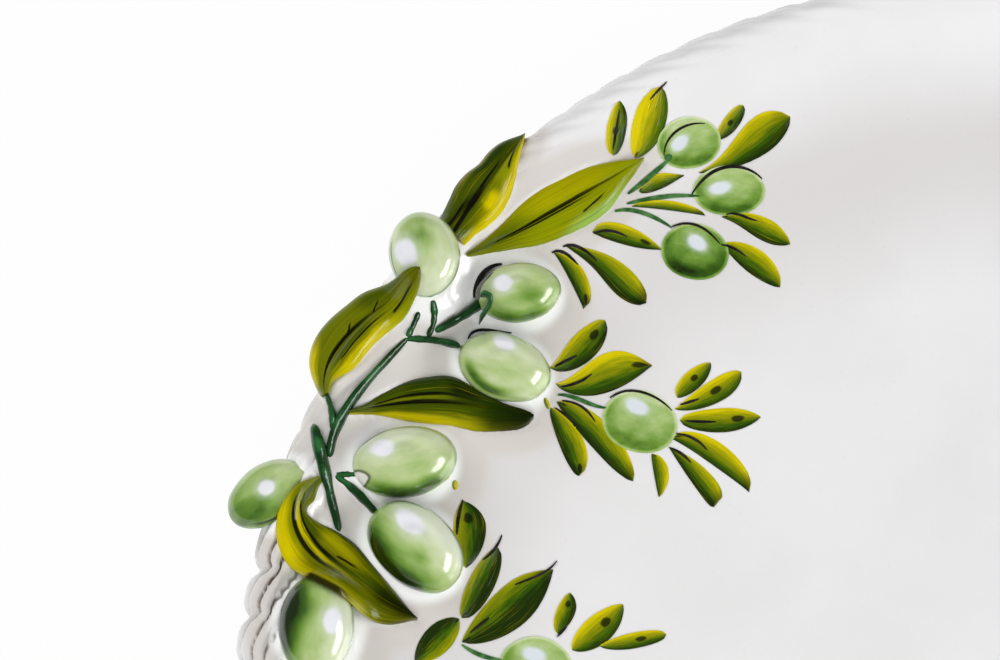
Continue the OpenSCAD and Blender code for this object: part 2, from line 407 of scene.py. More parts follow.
# Olives
# Each olive is pressed from clay on its own, luted on, and painted in washes of green from pale to nearly
# black, with ink along some of its edges and a pale lilac touch for the gleam.
slip_gap = 0.1
drop_angle = math.radians(40)
ramp_r = lip_radius - rope_reach
drop_r = coil_r + rope_radius * math.sin(drop_angle)
drop_z = coil_z + rope_radius * math.cos(drop_angle)
bed_depth = 0.6
halves = {"left_far": (1, 1), "left_near": (1, -1), "right_far": (-1, -1), "right_near": (-1, 1)}
footprints = []
laid_on = []


def ground(r):
    """Height of what the relief lies on: floor, hollow, ramp to the coil, coil, then a slope down."""
    r = np.asarray(r, float)
    ramp = hollow(ramp_r) + (corner_z - hollow(ramp_r)) * (r - ramp_r) / (seat_r - ramp_r)
    top = coil_z + np.sqrt(np.clip(rope_radius ** 2 - (r - coil_r) ** 2, 0, None))
    out = drop_z - (r - drop_r) * math.tan(drop_angle)
    return np.where(r < ramp_r, hollow(r), np.where(r < seat_r, ramp, np.where(r < drop_r, top, out)))


def on_plan(places):
    """Places on the plan, from degrees counted from -X towards +Y and shares of the rim's radius."""
    turns, shares = np.radians([p[0] for p in places]), np.array([p[1] for p in places])
    return rim_radius * np.stack([-shares * np.cos(turns), shares * np.sin(turns)], -1)


def unit(ways):
    """Directions of length 1."""
    return ways / np.linalg.norm(ways, axis=-1, keepdims=True)


def to_left(ahead):
    """Directions on the plan, turned a quarter to the left."""
    return np.stack([-ahead[:, 1], ahead[:, 0]], -1)


def bent_line(corners, u):
    """Points, and directions to the left, on a curve drawn by four corners."""
    a, b, c, d = corners
    u = u[:, None]
    line = (1 - u) ** 3 * a + 3 * u * (1 - u) ** 2 * b + 3 * u ** 2 * (1 - u) * c + u ** 3 * d
    ahead = (1 - u) ** 2 * (b - a) + 2 * u * (1 - u) * (c - b) + u ** 2 * (d - c)
    return line, to_left(unit(ahead))


def shell(plan, low, high):
    """A closed mesh over a grid of plan points, between two grids of heights."""
    rows, cols = plan.shape[:2]
    top = np.concatenate([plan, high[..., None]], -1).reshape(-1, 3)
    bottom = np.concatenate([plan, low[..., None]], -1).reshape(-1, 3)
    count = rows * cols
    faces = grid_faces(rows, cols)
    faces += [[k + count for k in reversed(face)] for face in faces]
    edge = [j for j in range(cols)] + [i * cols + cols - 1 for i in range(1, rows)]
    edge += [(rows - 1) * cols + j for j in range(cols - 2, -1, -1)]
    edge += [i * cols for i in range(rows - 2, 0, -1)]
    faces += [[b, a, a + count, b + count] for a, b in zip(edge, edge[1:] + edge[:1])]
    return np.concatenate([top, bottom]), faces


def join(parts):
    """Several closed meshes as one list of points and faces."""
    points, faces, count = [], [], 0
    for some_points, some_faces in parts:
        points.append(some_points)
        faces += [[k + count for k in face] for face in some_faces]
        count += len(some_points)
    return np.concatenate(points), faces


def set_mark(piece, name, values):
    """Writes a vector on each point of a mesh for its glaze to read."""
    mark = piece.data.attributes.new(name, "FLOAT_VECTOR", "POINT")
    mark.data.foreach_set("vector", np.asarray(values, np.float32).ravel())


def marks_of(*parts):
    """The marks of a grid of points, from its three parts."""
    return np.stack(np.broadcast_arrays(*parts), -1).reshape(-1, 3)


def lay_on(ending, node, points, faces, glazing, slot, mark_name, marks, lift_share):
    """Lays a piece in all four halves of the garlands, with its marks and its share of the slip's lift."""
    for half_name, (x_way, y_way) in halves.items():
        piece = make_piece("%s_%s" % (half_name, ending), points * (x_way, y_way, 1), faces, [glazing], slot,
                           ["%s_%s" % (half_name, node)])
        set_mark(piece, mark_name, marks)
        laid_on.append((piece, lift_share))


olive_length = rim_radius * 0.133
olive_width = rim_radius * 0.092
pressed_share = 0.8
olive_lift_share = 0.5
dent_share, fine_dent_share = 0.012, 0.006
ink_soft_share = 0.015
olive_slip = (3.8, 6.5)
foot_print_share, foot_round_share = 0.72, 0.2
olive_rows, olive_cols, print_steps = 40, 72, 48

# Degrees, radius share, length share, width share, spin from the outward direction, share of the slope,
# and lift as a share of the width
olive_shares = [
    [37, 0.965, 0.84, 0.96, -43, -0.2, 0.3],
    [40.1, 0.859, 0.82, 0.82, 51, 1, 0.16],
    [34.1, 0.815, 0.9, 0.92, 17, 1, 0.16],
    [22.5, 0.863, 0.99, 0.96, 34, 1, 0.16],
    [16, 0.815, 1, 1.04, -24, 1, 0.16],
    [16.5, 1, 0.82, 0.80, 51, -0.3, 0.10],
    [7.5, 0.91, 0.94, 1, 97, 0.9, 0.26],
]

# How each olive is painted, in shares of its half length and half width as the camera sees it: which way and
# how strongly it darkens, its tone, a dark patch (place, size, strength), a bare end (place, size), a band
# (turn, half reach, distance out, strength, softness), the pale touch (place, sizes, turn), and strokes of
# ink (turn, half reach, inner and outer distance)
olive_looks = [
    {"lean": (0.10, 0.03), "tone": 0.20, "patch": (0.42, 0.0, 0.85, 0.26), "band": (95, 48, 0.84, 0.2, 0.24),
     "touch": (0.12, 0.48, 0.38, 0.36, 0), "ink": [(92, 36, 0.90, 0.935)]},
    {"lean": (-0.02, 0.14), "tone": 0.38, "patch": (-0.22, 0.12, 0.6, 0.24), "band": (82, 75, 0.86, 0.3, 0.4),
     "touch": (0.32, -0.4, 0.26, 0.3, 0), "ink": [(-26, 46, 0.87, 1.1), (-100, 60, 0.965, 1.0)]},
    {"lean": (0.02, 0.10), "tone": 0.26, "patch": (0.0, 0.1, 0.42, 0.14), "band": (63, 64, 0.77, 0.48, 0.24),
     "touch": (0.17, -0.7, 0.28, 0.22, 0), "ink": [(-70, 42, 0.975, 1.06)]},
    {"lean": (0.0, 0.24), "tone": 0.31, "patch": (-0.25, 0.1, 0.5, 0.1), "bare": (0.95, 0.3, 0.24),
     "band": (92, 72, 0.86, 0.42, 0.4), "touch": (0.36, -0.5, 0.26, 0.25, -25),
     "ink": [(-58, 26, 0.955, 1.03), (86, 28, 0.93, 1.12)]},
    {"lean": (0.08, 0.44), "tone": 0.36, "patch": (-0.15, 0.0, 0.34, 0.18), "band": (80, 85, 0.86, 0.4, 0.6),
     "touch": (0.4, -0.43, 0.36, 0.27, 8), "ink": [(105, 34, 0.9, 1.12)]},
    {"lean": (0.24, 0.12), "tone": 0.5, "patch": (0.3, 0.2, 0.6, 0.2), "band": (95, 80, 0.97, -0.3, 0.1),
     "touch": (-0.09, -0.2, 0.22, 0.3, 0), "ink": [(95, 64, 0.80, 0.87)]},
    {"lean": (-0.08, -0.40), "tone": 0.42, "patch": (-0.3, -0.5, 0.6, 0.2), "band": (-100, 80, 0.9, 0.3, 0.7),
     "touch": (-0.15, 0.45, 0.28, 0.28, 0), "ink": [(-100, 30, 0.95, 1.1)]},
]


def wash_of_green(pot, tone):
    """Olive green from the palest wash at 0 to nearly black at 1."""
    return pot.node("ShaderNodeValToRGB", {"stops": [
        (0.0, shade(226, 233, 210)), (0.22, shade(203, 216, 168)), (0.42, shade(164, 190, 114)),
        (0.62, shade(114, 152, 60)), (0.8, shade(64, 102, 24)), (1.0, shade(22, 42, 6))]}, {"Fac": tone})


def turned(s, t, degrees):
    """The same two coordinates seen along a direction and across it."""
    c, d = math.cos(math.radians(degrees)), math.sin(math.radians(degrees))
    return c * s + d * t, c * t - d * s


def off_turn(pot, s, t, degrees):
    """How many degrees a place lies off a direction."""
    along, across = turned(s, t, degrees)
    return abs(pot.math("ARCTAN2", across, along)) * (180 / math.pi)


def olive_glaze(number, look):
    """The painting of one olive, seen from above it: s runs along it, t across, and n is the height."""
    pot = Pot("olive_glaze_%d" % number)
    skin = pot.mark("skin")
    s, t, n = pot.parts(skin)
    out = pot.far(s, t)
    rim = out + 2 * pot.math("LESS_THAN", n, 0) * (1 - out)
    brush = pot.cloud(pot.vector(1.2 * s + number, 1.7 * t, 1.7 * number), 1.4, 3)
    tone = look["tone"] + look["lean"][0] * s + look["lean"][1] * t + 0.4 * (brush - 0.5)
    patch_s, patch_t, patch_size, patch_tone = look["patch"]
    away = pot.far(s - patch_s, t - patch_t)
    tone = tone + patch_tone * pot.step(patch_size, 0, away)
    turn, reach, share, strength, soft = look["band"]
    off = off_turn(pot, s, t, turn)
    band = strength * pot.step(reach, 0.3 * reach, off) * pot.step(share - soft, share, rim)
    tone = tone + band * pot.step(share + 0.14, share + 0.03, rim)
    colour = wash_of_green(pot, tone)
    rim_line = pot.step(0.93, 0.985, rim) * pot.step(1.2, 1.05, rim)
    colour = pot.lay(rim_line * 0.6, colour, shade(84, 134, 34))
    touch_s, touch_t, touch_long, touch_wide, touch_turn = look["touch"]
    along, across = turned(s - touch_s, t - touch_t, touch_turn)
    away = pot.far(along / touch_long, across / touch_wide) + 0.5 * (brush - 0.5)
    colour = pot.coats(colour, (pot.step(1.7, 0.7, away) * 0.45, shade(214, 224, 204)),
                       (pot.step(1.05, 0.6, away) * 0.92, shade(240, 241, 249)))
    if "bare" in look:
        bare_s, bare_t, bare_size = look["bare"]
        away = pot.far(s - bare_s, t - bare_t) + 0.2 * (brush - 0.5)
        colour = pot.coats(colour, (pot.step(1.35 * bare_size, bare_size, away) * 0.8, shade(44, 58, 30)),
                           (pot.step(bare_size, 0.8 * bare_size, away), shade(236, 234, 228)))
    for turn, reach, inner, outer in look["ink"]:
        off = off_turn(pot, s, t, turn)
        thin = 0.5 * (1 - pot.step(reach, 0.4 * reach, off)) * (outer - inner)
        stroke = pot.step(reach, 0.85 * reach, off)
        stroke = stroke * pot.step(inner - ink_soft_share, inner + ink_soft_share, rim - thin)
        stroke = stroke * pot.step(outer + ink_soft_share, outer - ink_soft_share, rim + thin)
        colour = pot.lay(stroke * 0.92, colour, shade(26, 30, 20))
    return pot.fire(colour, 0.16 + 0.06 * brush, pot.cloud(skin, 3, 1), 0.00015, 1)


def slope(r):
    """Slope of the hollow at a radius."""
    return math.asin((min(r, lip_radius) - well_radius) / cove_radius)


def spin_matrix(axis, turn):
    """Rotation about Y or Z."""
    c, d = math.cos(turn), math.sin(turn)
    if axis == "y":
        return np.array([[c, 0, d], [0, 1, 0], [-d, 0, c]])
    return np.array([[c, -d, 0], [d, c, 0], [0, 0, 1]])


def olive_stand(row):
    """Middle, directions and half sizes of an olive."""
    degrees, share, long_share, wide_share, spin, slope_share, lift_share = row
    r, around = share * rim_radius, math.radians(degrees)
    width = wide_share * olive_width
    half = np.array([long_share * olive_length, width, pressed_share * width]) / 2
    lift = lift_share * width
    tilt = slope(r) * slope_share
    m = r - lift * math.sin(tilt)
    middle = np.array([-m * math.cos(around), m * math.sin(around), float(ground(r)) + lift * math.cos(tilt)])
    ways = spin_matrix("z", math.pi - around) @ spin_matrix("y", -tilt) @ spin_matrix("z", math.radians(spin))
    return middle, ways, half


polar, around = np.meshgrid(np.linspace(0, math.pi, olive_rows + 1)[1:-1],
                            np.linspace(0, 2 * math.pi, olive_cols, endpoint=False), indexing="ij")
ball = np.stack([np.sin(polar) * np.cos(around), np.sin(polar) * np.sin(around), np.cos(polar)], -1)
ball = np.vstack([ball.reshape(-1, 3), [[0, 0, 1], [0, 0, -1]]])
ball_faces = capped_faces(olive_rows - 1, olive_cols)
for number, (row, look) in enumerate(zip(olive_shares, olive_looks), 1):
    middle, ways, half = olive_stand(row)
    s, t = ball[:, 0], ball[:, 1]
    dents = dent_share * np.sin(3 * s + number) * np.cos(2.6 * t + 2 * number)
    dents += fine_dent_share * np.sin(7 * s + 5 * t + number)
    olive_points = middle + (ball * (1 + dents)[:, None] * half) @ ways.T
    seat = ground(np.linalg.norm(olive_points[:, :2], axis=1)) - bed_depth
    olive_points[:, 2] = np.maximum(olive_points[:, 2], seat)
    towards = unit(-view_ahead @ ways / half)
    lengthwise = unit(np.array([1, 0, 0]) - towards[0] * towards)
    seen_skin = ball @ np.stack([lengthwise, np.cross(towards, lengthwise), towards], 1)
    ring = np.linspace(0, 2 * math.pi, print_steps, endpoint=False)
    oval = np.stack([np.cos(ring), np.sin(ring), 0 * ring], -1) * half
    outline = np.vstack([middle[:2] + foot_print_share * oval @ ways.T[:, :2], middle[None, :2]])
    footprints.append((outline, np.full(len(outline), foot_round_share * half[1]), *olive_slip))
    lay_on("olive_%d_pressed" % number, "olive_%d" % number, olive_points, ball_faces,
           olive_glaze(number, look), "olive_glaze", "skin", seen_skin, olive_lift_share)

# Leaves
# The leaves are cut from a thin sheet of clay, bent and laid over the coil and the olives. They are painted
# in yellow and green, one half lighter than the other, with ink for the middle rib and the side veins.
leaf_width = rim_radius * 0.067
leaf_rim = 1.9
leaf_crown = 1.3
drape_reach = 2.2
leaf_lift_share = 0.8
leaf_hang = 0.8
leaf_slip = (1.5, 5.0)
rib_depth, rib_width_share = 0.7, 0.1
ripple_height = 0.28
blunt_share = 0.07
drape_rounds, rest_rounds = 24, 6
leaf_rows, leaf_cols = 60, 27

# Four places of the middle line from base to tip, the distances of the left and the right edge from it at
# nine even steps, as shares of half a leaf's width, and the olive that the leaf lies on, 0 for none
leaf_shares = [
    [[(39.8, 0.959), (43, 0.967), (46, 0.977), (49.6, 0.997)],
     [0.84, 0.88, 0.98, 1.08, 1.02, 0.82, 0.78, 0.6, 0.1],
     [0.5, 0.6, 0.8, 0.93, 0.9, 0.74, 0.5, 0.26, 0.04], 0],
    [[(39.5, 0.933), (44.3, 0.907), (49.3, 0.891), (56, 0.885)],
     [0.06, 0.28, 0.52, 0.8, 0.96, 1.0, 0.95, 0.58, 0.05],
     [0.06, 0.26, 0.48, 0.76, 0.9, 0.98, 0.9, 0.46, 0.05], 0],
    [[(24.5, 0.98), (27, 1.015), (31, 0.99), (35.2, 0.949)],
     [0.14, 0.42, 0.78, 1.0, 1.06, 1.0, 0.92, 0.38, 0.2],
     [0.14, 0.36, 0.82, 0.97, 0.95, 0.89, 0.82, 0.68, 0.35], 1],
    [[(24, 0.945), (26.8, 0.905), (29.4, 0.845), (32, 0.75)],
     [0.06, 0.2, 0.55, 0.86, 1.03, 1.06, 0.58, 0.24, 0.16],
     [0.06, 0.22, 0.38, 0.6, 0.72, 0.76, 0.88, 0.74, 0.45], 0],
    [[(18.5, 0.945), (14.5, 0.99), (12, 0.9), (10, 0.79)],
     [0.1, 0.36, 0.22, 0.56, 0.94, 1.1, 0.88, 0.52, 0.05],
     [0.08, 0.42, 0.76, 1.12, 1.28, 1.2, 1.02, 0.9, 0.12], 7],
]
leaf_yellow = shade(214, 196, 0)
leaf_gold = shade(166, 160, 0)
leaf_fresh = shade(136, 144, 0)
leaf_olive = shade(108, 116, 0)
leaf_moss = shade(68, 82, 0)
leaf_green = shade(34, 56, 0)
leaf_dark = shade(11, 20, 0)
leaf_pale = shade(150, 186, 84)
ink = shade(10, 9, 4)

# How each leaf is painted: the colour beside the rib and at the edge on its left and on its right, where the
# tip begins to darken and how strongly, soft strokes of a wash and fine strokes of ink, each from a place
# along and across to another, with its bend and half width, and for a wash its colour. The last ink stroke
# of the fifth leaf is painted shadow, beside the olive under it
leaf_looks = [
    {"left": (leaf_moss, leaf_moss), "right": (leaf_olive, leaf_yellow), "tip": (0.9, 0.2),
     "wash": [(0.4, 0.85, 1.05, 0.5, 0, 0.4, leaf_green), (-0.1, 0.12, 0.5, 0.1, 0, 0.3, leaf_dark),
              (-0.2, -0.35, 0.4, -0.3, 0, 0.5, leaf_moss), (0.28, -0.6, 0.52, -0.55, 0, 0.3, leaf_yellow),
              (0.5, -0.3, 0.9, -0.3, 0, 0.3, leaf_fresh)],
     "ink": [(-0.05, -0.05, 0.62, 0.1, 0.06, 0.11), (0.0, 0.36, 0.34, 0.32, 0, 0.07),
             (0.4, 0.14, 0.8, 0.22, 0, 0.05), (0.66, -0.5, 1.0, 0.0, 0, 0.09)]},
    {"left": (leaf_fresh, leaf_gold), "right": (leaf_fresh, leaf_fresh), "tip": (0.97, 0.3),
     "wash": [(-0.3, 0.0, 0.5, 0.0, 0, 0.9, leaf_moss), (0.3, 0.55, 0.95, 0.35, 0, 0.4, leaf_gold),
              (0.45, -0.98, 0.95, -0.95, 0, 0.28, leaf_pale)],
     "ink": [(0.08, -0.04, 1.0, 0.0, 0.04, 0.07), (0.2, -0.18, 0.8, -0.16, 0.04, 0.05),
             (0.62, -0.62, 0.8, -0.4, 0, 0.04)]},
    {"left": (leaf_olive, leaf_olive), "right": (leaf_olive, leaf_fresh), "tip": (0.86, 0.5),
     "wash": [(0.0, 0.95, 0.45, 0.95, 0, 0.35, leaf_yellow), (0.0, -0.95, 0.95, -0.95, 0, 0.4, leaf_yellow),
              (0.35, 0.5, 0.75, 0.4, 0, 0.2, leaf_olive), (0.15, -0.35, 0.8, -0.3, 0, 0.34, leaf_moss),
              (0.6, 0.6, 1.0, 0.5, 0, 0.4, leaf_moss)],
     "ink": [(-0.05, 0.05, 0.9, 0.0, 0.0, 0.075), (0.5, 0.0, 0.58, 0.3, 0, 0.05),
             (0.28, -0.42, 0.86, -0.3, -0.08, 0.04), (0.78, -0.6, 0.98, -0.45, 0, 0.07),
             (0.7, 0.0, 0.78, 0.35, 0, 0.04)]},
    {"left": (leaf_moss, leaf_green), "right": (leaf_moss, leaf_gold), "tip": (0.66, 0.9),
     "wash": [(0.3, 0.75, 0.7, 0.75, 0, 0.5, leaf_green), (0.56, 0.5, 0.85, 0.4, 0, 0.45, leaf_dark),
              (0.7, 0.5, 1.05, 0.1, 0, 0.6, leaf_green), (0.1, -0.85, 0.75, -0.95, 0, 0.22, leaf_yellow),
              (0.7, -0.6, 1.15, -0.4, 0, 0.7, leaf_green), (0.2, 0.15, 0.7, 0.15, 0, 0.13, leaf_olive)],
     "ink": [(0.08, 0.02, 0.85, 0.0, 0.02, 0.075), (0.12, 0.2, 0.8, 0.2, 0.1, 0.06)]},
    {"left": (leaf_moss, leaf_olive), "right": (leaf_olive, leaf_gold), "tip": (0.78, 0.8),
     "wash": [(0.4, 0.6, 0.8, 0.55, 0, 0.4, leaf_gold), (0.3, 1.0, 0.95, 1.0, 0, 0.2, leaf_green),
              (0.76, 0.2, 1.1, 0.0, 0, 0.6, leaf_dark), (0.1, -0.8, 0.68, -0.8, 0, 0.3, leaf_yellow),
              (0.8, -0.7, 0.98, -0.7, 0, 0.3, leaf_olive), (0.1, -0.12, 0.84, -0.16, 0, 0.07, leaf_yellow)],
     "ink": [(0.16, 0.02, 0.8, 0.04, 0.02, 0.075), (0.14, -0.3, 0.82, -0.3, 0.0, 0.075),
             # Painted shadow: the last stroke darkens the leaf's right edge where it hangs over the olive
             (0.6, 0.2, 0.74, 0.42, 0, 0.05), (0.58, -0.96, 0.82, -0.9, 0, 0.16)]},
]


def leaf_glaze(number, look):
    """The painting of one leaf: u runs from its base to its tip, v from its right edge to its left edge."""
    pot = Pot("leaf_glaze_%d" % number)
    blade = pot.mark("blade")
    u, v, _ = pot.parts(blade)
    brush = pot.cloud(pot.vector(3.0 * u + number, 5.5 * v, number), 1.6, 4)
    bristle = pot.cloud(pot.vector(1.6 * u, 9 * v, number + 4), 1.5, 2)
    edge = pot.step(0.4, 0.98, abs(v) + 0.7 * (brush - 0.5))

    def stroke(u_from, v_from, u_to, v_to, bend, thick, soft):
        """Where a stroke of the brush lies: sharp or soft beside, and thin at its ends."""
        q = (u - u_from) / (u_to - u_from)
        off = v - v_from - (v_to - v_from) * q - 4 * bend * q * (1 - q)
        off = abs(off + (0.06 + 0.4 * soft) * (brush - 0.5))
        taper = pot.step(0, 0.12 + 0.2 * soft, q) * pot.step(1, 0.6, q)
        return taper * pot.step(1.25 + 0.35 * soft, 0.55 - 0.5 * soft, off / (thick * (0.45 + 0.55 * taper)))

    tip_start, tip_share = look["tip"]
    colour = pot.coats(
        pot.lay(edge, *look["right"]),
        (pot.step(-0.12, 0.12, v + 0.3 * (brush - 0.5)), pot.lay(edge, *look["left"])),
        *[(stroke(*course, 1) * 0.9, wash) for *course, wash in look["wash"]],
        (pot.step(0.52, 0.74, bristle) * 0.28, leaf_green),
        (pot.step(0.44, 0.28, bristle) * 0.2, leaf_yellow),
        (pot.step(tip_start, 1, u + 0.25 * (brush - 0.5)) * tip_share, leaf_dark),
        *[(stroke(*course, 0) * 0.95, ink) for course in look["ink"]])
    return pot.fire(colour, 0.07 + 0.06 * bristle, 0.6 * bristle + 0.4 * brush, 0.00015, shine=0.22)


def edge_course(shares, u):
    """A smooth course through shares at even steps."""
    shares = np.array(shares)
    place = u * (len(shares) - 1)
    first = np.minimum(place.astype(int), len(shares) - 2)
    t, way = place - first, np.gradient(shares)
    near = shares[first] * (1 + 2 * t) * (1 - t) ** 2 + way[first] * t * (1 - t) ** 2
    return near + shares[first + 1] * t ** 2 * (3 - 2 * t) - way[first + 1] * t ** 2 * (1 - t)


def over_olive(number, plan, low):
    """Height that clears an olive under a leaf."""
    middle, ways, half = olive_stand(olive_shares[number - 1])
    room = half + (drape_reach, drape_reach, slip_gap)
    start = np.concatenate([plan - middle[:2], np.zeros(plan.shape[:2] + (1,))], -1) @ ways / room
    up = ways[2] / room
    a, b, c = up @ up, start @ up, (start * start).sum(-1) - 1
    inside = b * b - a * c
    top = middle[2] + (np.sqrt(np.clip(inside, 0, None)) - b) / a
    return np.where(inside < 0, low, np.maximum(low, top))


def eased(heights, rounds):
    """Heights smoothed along and across, as a soft sheet of clay hangs."""
    for _ in range(rounds):
        for axis in (0, 1):
            pad = np.pad(heights, [(1, 1) if axis == k else (0, 0) for k in (0, 1)], mode="edge")
            before, after = (pad[:-2], pad[2:]) if axis == 0 else (pad[:, :-2], pad[:, 2:])
            heights = (before + 2 * heights + after) / 4
    return heights


steps = np.linspace(0, 1, leaf_rows)
u, v = steps[:, None], np.sin(np.linspace(-math.pi / 2, math.pi / 2, leaf_cols))[None, :]
tip_round = np.sqrt(np.clip(1 - (np.clip(steps - 1 + blunt_share, 0, 1) / blunt_share) ** 2, 0.02, 1))
leaf_marks = np.tile(marks_of(u, v, 0.0), (2, 1))
for number, ((places, *edge_shares, under), look) in enumerate(zip(leaf_shares, leaf_looks), 1):
    line, left = bent_line(on_plan(places), steps)
    left_half, right_half = [
        leaf_width / 2 * edge_course(shares, steps) * tip_round for shares in edge_shares]
    fill = np.clip((left_half + right_half)[:, None] / leaf_width, 0, 1)
    across = np.where(v > 0, left_half[:, None] * v, right_half[:, None] * v)
    plan = line[:, None] + left[:, None] * across[..., None]
    base = slip_gap + ground(np.linalg.norm(plan, axis=-1))
    base = np.maximum(base, base[:, leaf_cols // 2, None] - leaf_hang)
    if under:
        draped = slip_gap + over_olive(under, plan, base - slip_gap)
        base = np.maximum(eased(draped, drape_rounds), base)
    else:
        base = eased(base, rest_rounds)
    swell = fill * (1 - v ** 2) * (1 - 0.35 * (1 - np.abs(v)) ** 3)
    rib = rib_depth * np.exp(-(v / rib_width_share) ** 2) * smooth(0.1, 0.4, u) * smooth(1, 0.8, u)
    ripple = ripple_height * np.sin(9 * u + 2 * number) * v * fill
    rise = leaf_rim * (1 - 0.6 * np.abs(v) ** 6) + leaf_crown * swell - rib + ripple
    middle_line = line + left * ((left_half - right_half) / 2)[:, None]
    footprints.append((middle_line, (left_half + right_half) / 2, *leaf_slip))
    lay_on("leaf_%d_laid" % number, "leaf_%d" % number, *shell(plan, base - bed_depth, base + rise),
           leaf_glaze(number, look), "leaf_glaze", "blade", leaf_marks, leaf_lift_share)

# Forked branches
# Each half of a garland has one forked branch of thin rolls of clay, pressed down side by side and painted
# dark green. Little hooks of clay mark where an olive joins its twig.
twig_width = rim_radius * 0.0122
twig_rim = 0.7
twig_slip = (0.9, 3.2)


def twig_glaze():
    """Dark green glaze, lighter in patches along the crown of a twig, with a few darker strokes."""
    pot = Pot("twig_glaze")
    place = pot.place()
    across = abs(pot.parts(pot.mark("roll"))[1])
    strokes = pot.cloud(place, 160)
    crown = pot.step(0.75, 0.1, across) * pot.step(0.42, 0.62, strokes)
    colour = pot.coats(shade(14, 54, 20), (pot.step(0.4, 0.7, strokes), shade(26, 78, 32)),
                       (crown * 0.7, shade(52, 116, 62)))
    return pot.fire(colour, 0.14 + 0.1 * strokes, pot.cloud(place, 320), 0.0003)


# Four places of each twig's middle line, its widths at the start and at the end as shares of its width, and
# the olive that it lies on, 0 for none
twig_shares = [
    [[(20.3, 0.944), (22.6, 0.960), (26, 0.950), (32, 0.928)], 1.05, 0.7, 0],
    [[(31.5, 0.930), (32.2, 0.931), (33, 0.933), (33.7, 0.935)], 0.65, 0.5, 0],
    [[(31.3, 0.931), (32.4, 0.912), (33, 0.90), (33.5, 0.872)], 0.65, 0.7, 0],
    [[(32.5, 0.912), (33.6, 0.912), (34.4, 0.918), (35, 0.930)], 0.6, 0.8, 0],
    [[(33.2, 0.909), (34.9, 0.897), (36.3, 0.889), (37.6, 0.883)], 0.6, 1, 0],
    [[(37.3, 0.884), (38, 0.875), (37.6, 0.860), (36, 0.871)], 0.5, 0.45, 2],
    [[(19.3, 0.932), (19.1, 0.912), (18.7, 0.895), (17.7, 0.869)], 0.8, 0.85, 0],
    [[(19.3, 0.930), (19.6, 0.922), (19.9, 0.915), (20, 0.907)], 0.8, 0.5, 0],
    [[(22.2, 0.979), (20, 0.951), (18.2, 0.933), (15.3, 0.905)], 1.35, 0.95, 0],
    [[(24.6, 0.980), (23.9, 0.968), (23.2, 0.958), (22.3, 0.954)], 0.55, 0.8, 0],
]
twig_rows, twig_cols = 28, 13
twig_round_share = 1.25
twig_lift_share = 1.0


def rolled_twig(places, start_share, end_share, under):
    """One roll of clay, rounded at its ends and a little lumpy."""
    u = np.linspace(0, 1, twig_rows)
    v = np.linspace(-1, 1, twig_cols)
    line, left = bent_line(on_plan(places), u)
    lumps = 1 + waves(u, [(0.1, 9, 7 * places[0][0]), (0.06, 23, places[3][0])])
    ends = np.sqrt(np.clip(1 - np.abs(2 * u - 1) ** 9, 0.04, 1))
    half = twig_width / 2 * (start_share + (end_share - start_share) * u) * lumps * ends
    plan = line[:, None] + left[:, None] * (half[:, None] * v)[..., None]
    base = slip_gap + ground(np.linalg.norm(plan, axis=-1))
    if under:
        base = slip_gap + over_olive(under, plan, base - slip_gap)
    high = base + ends[:, None] * twig_rim + twig_round_share * half[:, None] * np.sqrt(1 - v ** 2)
    footprints.append((line, half, *twig_slip))
    return shell(plan, base - bed_depth, high), np.tile(marks_of(u[:, None], v, 0.0), (2, 1))


twigs, twig_marks = zip(*[rolled_twig(*row) for row in twig_shares])
lay_on("twigs", "branch", *join(twigs), twig_glaze(), "twig_glaze", "roll", np.concatenate(twig_marks),
       twig_lift_share)

# Slip round the relief
# Slip is brushed round each laid-on piece and into the corner under the coil, so the white ground swells
# softly up to every olive, leaf and twig, and the strands of the edge run out into the hollow.
ramp_start_r = 158
strand_end_r = 168.5
long_strand, long_reach = 11, 12
slip_reach = 30
steep_share, steep_width_share = 0.55, 0.28
slip_lift_share, crowd_share, crowd_height = 0.6, 0.5, 0.9


def bedding(x, y):
    """How far the slip lifts the ground at a place. Both garlands and their halves are alike."""
    spot = np.stack([-np.abs(x), np.abs(y)], -1).reshape(-1, 2)
    bare = np.ones(len(spot))
    lift = np.zeros(len(spot))
    for centres, radii, high, wide in footprints:
        inside = (spot > centres.min(0) - slip_reach) & (spot < centres.max(0) + slip_reach)
        near = np.flatnonzero(np.all(inside, axis=1))
        if not len(near):
            continue
        gaps = np.min(np.linalg.norm(spot[near, None] - centres[None], axis=-1) - radii[None], axis=1)
        gaps = np.clip(gaps, 0, None)
        steep, gentle = np.exp(-gaps / (steep_width_share * wide)), np.exp(-(gaps / wide) ** 2)
        rise = steep_share * steep + (1 - steep_share) * gentle
        lift[near] = np.maximum(lift[near], high * rise)
        bare[near] *= 1 - crowd_share * rise
    return (slip_lift_share * lift + crowd_height * (1 - bare)).reshape(np.shape(x))


def folds(x, y):
    """Depth of the grooves where the strands of the edge run out into the hollow."""
    r, turn = np.hypot(x, y), np.arctan2(y, x)
    share = 1 + (seat_r - r) / (rope_radius * seat_angle)
    fade_r = strand_end_r - long_strand * np.exp(-((from_side(turn) - deep_place) / long_reach) ** 2)
    return strand_depth(turn) * groove(turn, share) * smooth(0, 1, (r - fade_r) / (seat_r - fade_r))


def surface(x, y):
    """Height of the finished white ground inside the coil."""
    r = np.hypot(x, y)
    uneven = 0.10 * np.sin(x / 17 + 1) * np.sin(y / 21 + 2) + 0.06 * np.sin((x + y) / 9)
    ramp = (corner_z - lip_top) * smooth(ramp_start_r, seat_r, r)
    return hollow(r) + uneven * smooth(0, 40, r) + ramp - folds(x, y) + bedding(x, y)


def points_of(piece):
    """All points of a piece in millimetres."""
    flat = np.empty(len(piece.data.vertices) * 3, np.float32)
    piece.data.vertices.foreach_get("co", flat)
    return flat.reshape(-1, 3).astype(float) / mm


